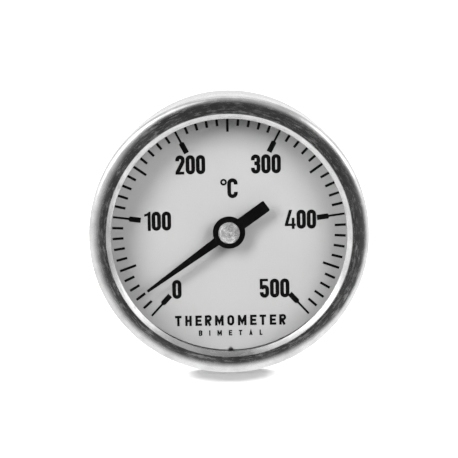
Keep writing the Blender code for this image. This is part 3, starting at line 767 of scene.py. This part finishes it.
def lettering(name, text, shapes, size, centre, space):
    """A line of characters, spaced apart evenly and centred on a point; touching strokes are united."""
    left = centre[0] - text_width(text, shapes, size, space) / 2
    made = []
    for index, character in enumerate(text):
        made.append(glyph(f"{name}_{index}", shapes[character], size, left, centre[1] - size / 2))
        left += (shapes[character][0] + space) * size
    place(join(name, made), "housing", "dial")


def text_width(text, shapes, size, space):
    return size * (sum(shapes[c][0] for c in text) + space * (len(text) - 1))


def make_figures():
    shapes = figure_shapes()
    for text, centre in FIGURE_CENTRES.items():
        lettering(f"figure_{text}", text, shapes, FIGURE_HEIGHT, centre, FIGURE_SPACE)
    outer = arc(DEGREE_CENTRE, DEGREE_RADIUS + DEGREE_LINE / 2, 0.0, 360.0, 40)[:-1]
    inner = arc(DEGREE_CENTRE, DEGREE_RADIUS - DEGREE_LINE / 2, 0.0, 360.0, 40)[:-1]
    place(printed("degree_ring", [outer, inner]), "housing", "dial")


def make_words():
    """Plain words for what the instrument is."""
    for text, size, width, height, line in WORDS:
        shapes = letter_shapes(line)
        space = (width - text_width(text, shapes, size, 0.0)) / size / (len(text) - 1)
        lettering(f"word_{text.lower()}", text, shapes, size, (0.0, height), space)


# ---------------------------------------------------------------- pointer


def make_pointer():
    low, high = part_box("pointer")
    ring = 3.66 * MM
    length = 22.9 * MM
    blade = 0.95 * MM
    tip = 0.3 * MM
    tail = 1.33 * MM
    tail_length = 10.5 * MM
    corner = 0.25 * MM
    rest_deg = SCALE_START_DEG + REST_STEPS * SCALE_STEP_DEG
    blade_deg = math.degrees(math.asin(blade / ring))
    tail_deg = 180.0 - math.degrees(math.asin(tail / ring))
    upper = [(length, tip - 0.1 * MM), (length - 0.1 * MM, tip)]
    upper += arc((0.0, 0.0), ring, blade_deg, tail_deg, 48)
    upper += arc((-tail_length + corner, tail - corner), corner, 90.0, 180.0, 4)
    lower = [(x, -up) for x, up in reversed(upper)]
    hole = arc((0.0, 0.0), 1.65 * MM, 0.0, 360.0, 48)[:-1]
    pointer = plate(
        "pointer_blade",
        [upper + lower, hole],
        low.y,
        high.y - low.y,
        pointer_paint,
        edge=0.06 * MM,
        turn_deg=270.0 - rest_deg,
        sharp_deg=12.0,
    )
    place(pointer, "pointer_works", "pointer_black", "pointer")


def make_hub():
    """Turned and riveted hub: a faintly rippled dome with a dimple in its middle and a chamfered rim."""
    low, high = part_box("pointer_hub")
    top = low.y
    foot = high.y
    head = 2.43 * MM
    neck_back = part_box("pointer")[1].y + GAP
    neck_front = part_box("pointer")[0].y - GAP
    rim = 0.12 * MM
    chamfer = 0.42 * MM
    chamfer_drop = 0.27 * MM
    dome = 0.12 * MM
    ripple_height = 0.003 * MM
    ripple_pitch = 0.23 * MM
    dimple_depth = 0.13 * MM
    dimple_radius = 0.28 * MM
    bore = 0.88 * MM
    bore_end = top + 0.6 * MM
    body = 2.2 * MM
    neck = 1.55 * MM
    outline = [(0.0, bore_end), (bore, bore_end), (bore, foot), (body, foot), (body, neck_back)]
    outline += [(neck, neck_back), (neck, neck_front), (head, neck_front)]
    outline += arc((head - rim, top + dome + chamfer_drop + rim), rim, 0.0, -57.0, 8)
    outline.append((head - rim - chamfer, top + dome))
    start, edge_height = outline[-1]
    steps = 64
    for i in range(1, steps):
        r = start * (1.0 - i / steps)
        bulge = dome * (1.0 - (r / start) ** 2)
        ripple = ripple_height * math.sin(math.tau * r / ripple_pitch)
        dimple = dimple_depth * math.exp(-((r / dimple_radius) ** 2))
        outline.append((r, edge_height - bulge + ripple + dimple))
    outline.append((0.0, outline[-1][1]))
    hub = lathe("hub_cap", outline, hub_steel, segments=128, sharp_deg=60.0)
    place(hub, "pointer_works", "hub", "pointer_hub")


# ---------------------------------------------------------------- boss, stem and clamp


def threaded_bar(name, radius, pitch, start, end, bore, material, chamfer):
    """A screw thread cut on a bar: a ridge that winds round it, chamfered at its far end."""
    per_turn = 14
    segments = 112
    rows = int(round((end - start) / pitch * per_turn))
    depth = 0.55 * pitch
    verts = []
    faces = []
    for row in range(rows + 1):
        along = start + (end - start) * row / rows
        limit = radius - max(0.0, along - (end - chamfer))
        run_in = min(1.0, max(0.0, (along - start) / pitch))
        for k in range(segments):
            angle = math.tau * k / segments
            phase = (along / pitch - k / segments) % 1.0
            ridge = min(1.0, max(0.0, 1.15 - 2.6 * abs(phase - 0.5)))
            r = min(radius - depth * run_in * (1.0 - ridge), limit)
            verts.append((r * math.cos(angle), along, -r * math.sin(angle)))
    for row in range(rows):
        for k in range(segments):
            n = (k + 1) % segments
            a = row * segments
            b = a + segments
            faces.append((a + k, a + n, b + n, b + k))
    base = len(verts)
    for along in (start, end):
        for k in range(segments):
            angle = math.tau * k / segments
            verts.append((bore * math.cos(angle), along, -bore * math.sin(angle)))
    last = rows * segments
    for k in range(segments):
        n = (k + 1) % segments
        faces.append((base + k, base + n, n, k))
        faces.append((last + k, last + n, base + segments + n, base + segments + k))
        faces.append((base + segments + k, base + segments + n, base + n, base + k))
    return mesh_piece(name, verts, faces, material, 60.0)


def flats_loop(radius, half_flats, segments=96):
    """A round outline with two flats at its sides."""
    loop = []
    for k in range(segments):
        angle = math.tau * k / segments
        loop.append((max(-half_flats, min(half_flats, radius * math.cos(angle))), radius * math.sin(angle)))
    return loop


def make_boss():
    flange_radius = 14.0 * MM
    thread_radius = 7.0 * MM
    pitch = 1.5 * MM
    spigot_radius = 6.0 * MM
    spigot_bore = 2.5 * MM
    chamfer = 0.4 * MM
    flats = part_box("stem_boss")[1].x
    thread_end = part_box("stem_boss")[1].y
    spigot_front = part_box("stem_boss")[0].y
    bore = 4.1 * MM
    hole = arc((0.0, 0.0), bore, 0.0, 360.0, 64)[:-1]
    flange = plate(
        "boss_flange",
        [flats_loop(flange_radius, flats), hole],
        FLANGE_FRONT,
        FLANGE_BACK - FLANGE_FRONT,
        turned_steel,
        edge=0.3 * MM,
    )
    place(flange, "housing", "stainless", "stem_boss")
    thread = threaded_bar(
        "boss_thread", thread_radius, pitch, FLANGE_BACK, thread_end, bore, turned_steel, 1.0 * MM
    )
    place(thread, "housing", "stainless")
    spigot = [
        (spigot_bore, FLANGE_FRONT),
        (spigot_radius, FLANGE_FRONT),
        (spigot_radius, spigot_front + chamfer),
        (spigot_radius - chamfer, spigot_front),
        (spigot_bore, spigot_front),
    ]
    place(lathe("boss_spigot", spigot, turned_steel, segments=96), "housing", "stainless")


def make_fibre_washers():
    for name, node, bore in (
        ("case_washer", "case_seal", 6.3 * MM),
        ("panel_gasket", "door_gasket", 7.5 * MM),
    ):
        low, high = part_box(node)
        section = soften(ring_outline(bore, high.x, low.y, high.y), 0.15 * MM)
        place(lathe(name, section, fibre, segments=160), "housing", "fibre", node)


def make_stem():
    """The tube and the braze round it where it leaves the boss."""
    low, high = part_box("stem_tube")
    wall = 0.75 * MM
    tube = soften(ring_outline(high.x - wall, high.x, low.y, high.y), 0.15 * MM)
    place(lathe("stem", tube, tube_steel, segments=128), "housing", "stainless", "stem_tube")
    fillet_height = 0.9 * MM
    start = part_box("stem_boss")[1].y + 0.02 * MM
    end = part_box("stem_boss")[1].y + fillet_height
    inner = high.x + 0.03 * MM
    fillet = [(inner, end)]
    fillet += arc((high.x + 1.0 * MM, end), 0.85 * MM, 190.0, 262.0, 8)
    fillet += [(high.x + 0.95 * MM, start), (inner, start)]
    braze = lathe("braze_fillet", fillet, turned_steel, segments=96, sharp_deg=60.0)
    place(braze, "housing", "stainless")


def make_stem_tip():
    """Domed plug with a low weld bead where it meets the tube."""
    low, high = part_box("end_plug")
    radius = high.x
    spigot = 3.15 * MM
    dome = 2.0 * MM
    weld = STEM_END - 2.9 * MM
    bead = radius + 0.06 * MM
    steps = 20
    plug = [(0.0, STEM_END)]
    for i in range(1, steps + 1):
        angle = math.pi / 2 * i / steps
        plug.append((radius * math.sin(angle), STEM_END - dome * (1.0 - math.cos(angle))))
    plug += [(radius, weld + 0.45 * MM), (bead, weld + 0.28 * MM), (bead, weld + 0.1 * MM)]
    plug += [(radius - 0.05 * MM, weld), (spigot, weld), (spigot, low.y), (0.0, low.y)]
    tip = lathe("stem_tip", plug, tube_steel, segments=128, sharp_deg=50.0)
    place(tip, "housing", "stainless", "end_plug")


def make_clamp():
    low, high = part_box("flat_washer")
    section = soften(ring_outline(7.5 * MM, high.x, low.y, high.y), 0.3 * MM)
    place(lathe("washer", section, zinc, segments=160), "clamp_washers", "zinc", "flat_washer")
    place(split_washer(), "clamp_washers", "zinc", "spring_washer")
    place(hexagon_nut(), "clamp_nut", "zinc", "lock_nut")


def split_washer():
    """Split lock washer: a rectangular section wound through just under a turn, its ends slightly apart."""
    low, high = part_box("spring_washer")
    inner = 7.2 * MM
    rise = 0.45 * MM
    thickness = high.y - low.y - rise
    section = soften(ring_outline(inner, high.x, 0.0, thickness), 0.3 * MM)
    steps = 140
    slit_deg = 6.0
    lean_deg = 7.0
    verts = []
    faces = []
    count = len(section)
    for i in range(steps + 1):
        share = i / steps
        for r, along in section:
            lean = math.radians(lean_deg) * (along / thickness - 0.5)
            angle = math.radians(90.0 + slit_deg / 2 + (360.0 - slit_deg) * share) + lean
            verts.append((r * math.cos(angle), low.y + along + rise * share, r * math.sin(angle)))
    for i in range(steps):
        for k in range(count):
            n = (k + 1) % count
            a = i * count
            b = a + count
            faces.append((a + k, b + k, b + n, a + n))
    faces.append(tuple(range(count)))
    faces.append(tuple(reversed(range(steps * count, (steps + 1) * count))))
    return mesh_piece("split_washer", verts, faces, zinc, 40.0)


def hexagon_nut():
    """Thin nut: a chamfered round blank trimmed by a hexagon with softened corners."""
    low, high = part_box("lock_nut")
    flats = high.z
    corner = flats / math.cos(math.radians(30.0))
    bore = 6.95 * MM
    lead_in = 0.7 * MM
    face = flats - 0.5 * MM
    past_corner = corner + 0.6 * MM
    chamfer = 1.5 * MM
    blank = [
        (bore, high.y - lead_in),
        (bore + lead_in, high.y),
        (face, high.y),
        (past_corner, high.y - chamfer),
        (past_corner, low.y + chamfer),
        (face, low.y),
        (bore + lead_in, low.y),
        (bore, low.y + lead_in),
    ]
    nut = lathe("nut", blank, zinc, segments=144)
    hexagon = arc((0.0, 0.0), corner, 0.0, 300.0, 5)
    trimmer = plate(
        "nut_hexagon", [soften(hexagon, 0.5 * MM, steps=4)], low.y - MM, high.y - low.y + 2 * MM, zinc
    )
    combine(nut, trimmer, "INTERSECT")
    nut.data.shade_smooth()
    nut.data.set_sharp_from_angle(angle=math.radians(20.0))
    return nut


def finish_hidden_parts():
    """Better materials for the CAD nodes that stay as they are, all inside the case or the stem."""
    finishes = {
        "dial_carrier": zinc,
        "star_washer": zinc,
        "ring_nut": zinc,
        "upper_bearing": brass,
        "lower_bearing": brass,
        "coil_anchor": brass,
        "coil_collar": brass,
        "spindle_collar": brass,
        "spindle": turned_steel,
        "bimetal_coil": strip,
    }
    for node, material in finishes.items():
        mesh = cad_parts[node].data
        mesh.materials.clear()
        mesh.materials.append(material)


# ---------------------------------------------------------------- stage


def make_floor():
    """Pale floor with lamps of its own: the object neither mirrors it nor takes light or shade from it."""
    size = 3.0
    verts = []
    for x, y in ((-size, -size), (size, -size), (size, size), (-size, size)):
        verts.append((x, y, FLOOR_HEIGHT - 0.05 * MM))
    graph = Graph("studio_floor", (0.92, 0.92, 0.92), 0.6)
    floor = mesh_piece("studio_floor", verts, [(0, 1, 2, 3)], graph.material)
    floor.visible_glossy = False
    floor.visible_diffuse = False
    floor.visible_shadow = False
    return floor


def dark_edge(nodes, clock):
    """The two angles between which the dark part turns white, by the clock direction from its middle."""
    diagonal = math.sqrt(0.5)
    rise_to_upper_right = (-0.3, 0.25)
    rise_from_below = (-0.95, -0.2)
    narrowness = 8.0
    upper_right = nodes.dot(clock, (diagonal, 0.0, diagonal))
    low_start = math.radians(START_LOWER_LEFT_DEG)
    high_start = math.radians(START_UPPER_RIGHT_DEG)
    start = nodes.spread(upper_right, low_start, high_start, *rise_to_upper_right, smooth=True)
    towards = nodes.split(clock)
    low_end = math.radians(END_BELOW_DEG)
    high_end = math.radians(END_ELSEWHERE_DEG)
    end = nodes.spread(towards["Z"], low_end, high_end, *rise_from_below, smooth=True)
    for axis, more_deg in (("Z", END_MORE_UP_DEG), ("X", END_MORE_RIGHT_DEG)):
        share = nodes.math("POWER", nodes.math("MAXIMUM", towards[axis]), narrowness)
        end = nodes.math("ADD", end, nodes.math("MULTIPLY", share, math.radians(more_deg)))
    return start, end


def studio_light(nodes, direction):
    """Dark round the camera, dim overhead and white elsewhere.

    The dark part is centred where the flat face of the bezel mirrors, just below the camera. It ends soonest
    below and reaches furthest straight up and straight to the right.
    """
    pitch = math.radians(CAMERA_PITCH_DEG)
    middle = (0.0, -math.cos(pitch), -math.sin(pitch))
    along = nodes.dot(direction, middle)
    middle_part = nodes.vector("SCALE", {0: middle, "Scale": along})
    across = nodes.vector("SUBTRACT", {0: direction, 1: middle_part})
    start, end = dark_edge(nodes, nodes.vector("NORMALIZE", {0: across}))
    white = nodes.spread(nodes.math("ARCCOSINE", along), 0.0, 1.0, start, end, smooth=True)
    xyz = nodes.split(direction)
    level = nodes.math("MULTIPLY_ADD", nodes.math("MAXIMUM", xyz["Z"]), -CEILING_DIMMER)
    level.node.inputs[2].default_value = STUDIO_LEVEL
    total = nodes.math("MULTIPLY", white, level)
    right = nodes.math("MAXIMUM", xyz["X"])
    total = nodes.math("ADD", total, nodes.math("MULTIPLY", right, DARK_RIGHT_LEVEL))
    return nodes.math("ADD", total, DARK_LEVEL)


def softbox(nodes, direction, clock_deg, off_axis_deg, size_deg, strength):
    """A soft white patch of the studio, placed by clock direction and angle off the dial's axis."""
    clock = math.radians(clock_deg)
    off_axis = math.radians(off_axis_deg)
    side = math.sin(off_axis)
    aim = (side * math.sin(clock), -math.cos(off_axis), side * math.cos(clock))
    core = math.cos(math.radians(size_deg * SOFTBOX_CORE))
    edge = math.cos(math.radians(size_deg * SOFTBOX_EDGE))
    return nodes.spread(nodes.dot(direction, aim), 0.0, strength, edge, core, smooth=True)


def make_world():
    """Studio light by direction. The camera itself sees plain white."""
    world = bpy.data.worlds.new("studio")
    world.use_nodes = True
    bpy.context.scene.world = world
    nodes = Nodes(world.node_tree)
    direction = nodes.node("ShaderNodeTexCoord").outputs["Generated"]
    total = studio_light(nodes, direction)
    for box in SOFTBOXES:
        total = nodes.math("ADD", total, softbox(nodes, direction, *box))
    seen = nodes.node("ShaderNodeLightPath").outputs["Is Camera Ray"]
    total = nodes.math("ADD", total, nodes.math("MULTIPLY", seen, BACKDROP_WHITE))
    background = nodes.tree.nodes["Background"]
    nodes.set(background, {"Color": (1.0, 1.0, 1.0, 1.0), "Strength": total})


def make_light(floor, name, place_at, size, power, reach):
    """Soft round lamp aimed at the dial, for the floor alone or for all but the floor.

    Reflections don't show it.
    """
    data = bpy.data.lights.new(name, "AREA")
    data.shape = "DISK"
    data.size = size
    data.energy = power
    light = bpy.data.objects.new(name, data)
    light.location = place_at
    aim = Vector((0.0, DIAL_FACE, 0.0)) - Vector(place_at)
    light.rotation_mode = "QUATERNION"
    light.rotation_quaternion = aim.to_track_quat("-Z", "Y")
    light.visible_camera = False
    light.visible_glossy = False
    bpy.context.scene.collection.objects.link(light)
    linked = bpy.data.collections.new(name + "_linked")
    linked.objects.link(floor)
    linked.collection_objects[0].light_linking.link_state = reach
    light.light_linking.receiver_collection = linked


def make_camera():
    pitch = math.radians(CAMERA_PITCH_DEG)
    target = Vector((0.0, DIAL_FACE, AIM_UP))
    back = Vector((0.0, -math.cos(pitch), math.sin(pitch)))
    data = bpy.data.cameras.new("photo_camera")
    data.sensor_width = SENSOR
    data.lens = SENSOR * CAMERA_DISTANCE / VIEW_WIDTH
    data.clip_start = 0.01
    data.clip_end = 20.0
    camera = bpy.data.objects.new("photo_camera", data)
    camera.location = target + back * CAMERA_DISTANCE
    look = (-back).to_track_quat("-Z", "Y").to_matrix()
    roll = Matrix.Rotation(math.radians(-CAMERA_ROLL_DEG), 3, "Z")
    camera.rotation_euler = (look @ roll).to_euler()
    bpy.context.scene.collection.objects.link(camera)
    bpy.context.scene.camera = camera


make_camera()
make_bezel()
make_window()
make_case()
make_dial()
make_scale()
make_figures()
make_words()
make_pointer()
make_hub()
make_boss()
make_fibre_washers()
make_stem()
make_stem_tip()
make_clamp()
finish_hidden_parts()
studio_floor = make_floor()
make_world()
for lamp in LAMPS:
    make_light(studio_floor, *lamp)
bpy.context.scene.view_settings.view_transform = "Standard"
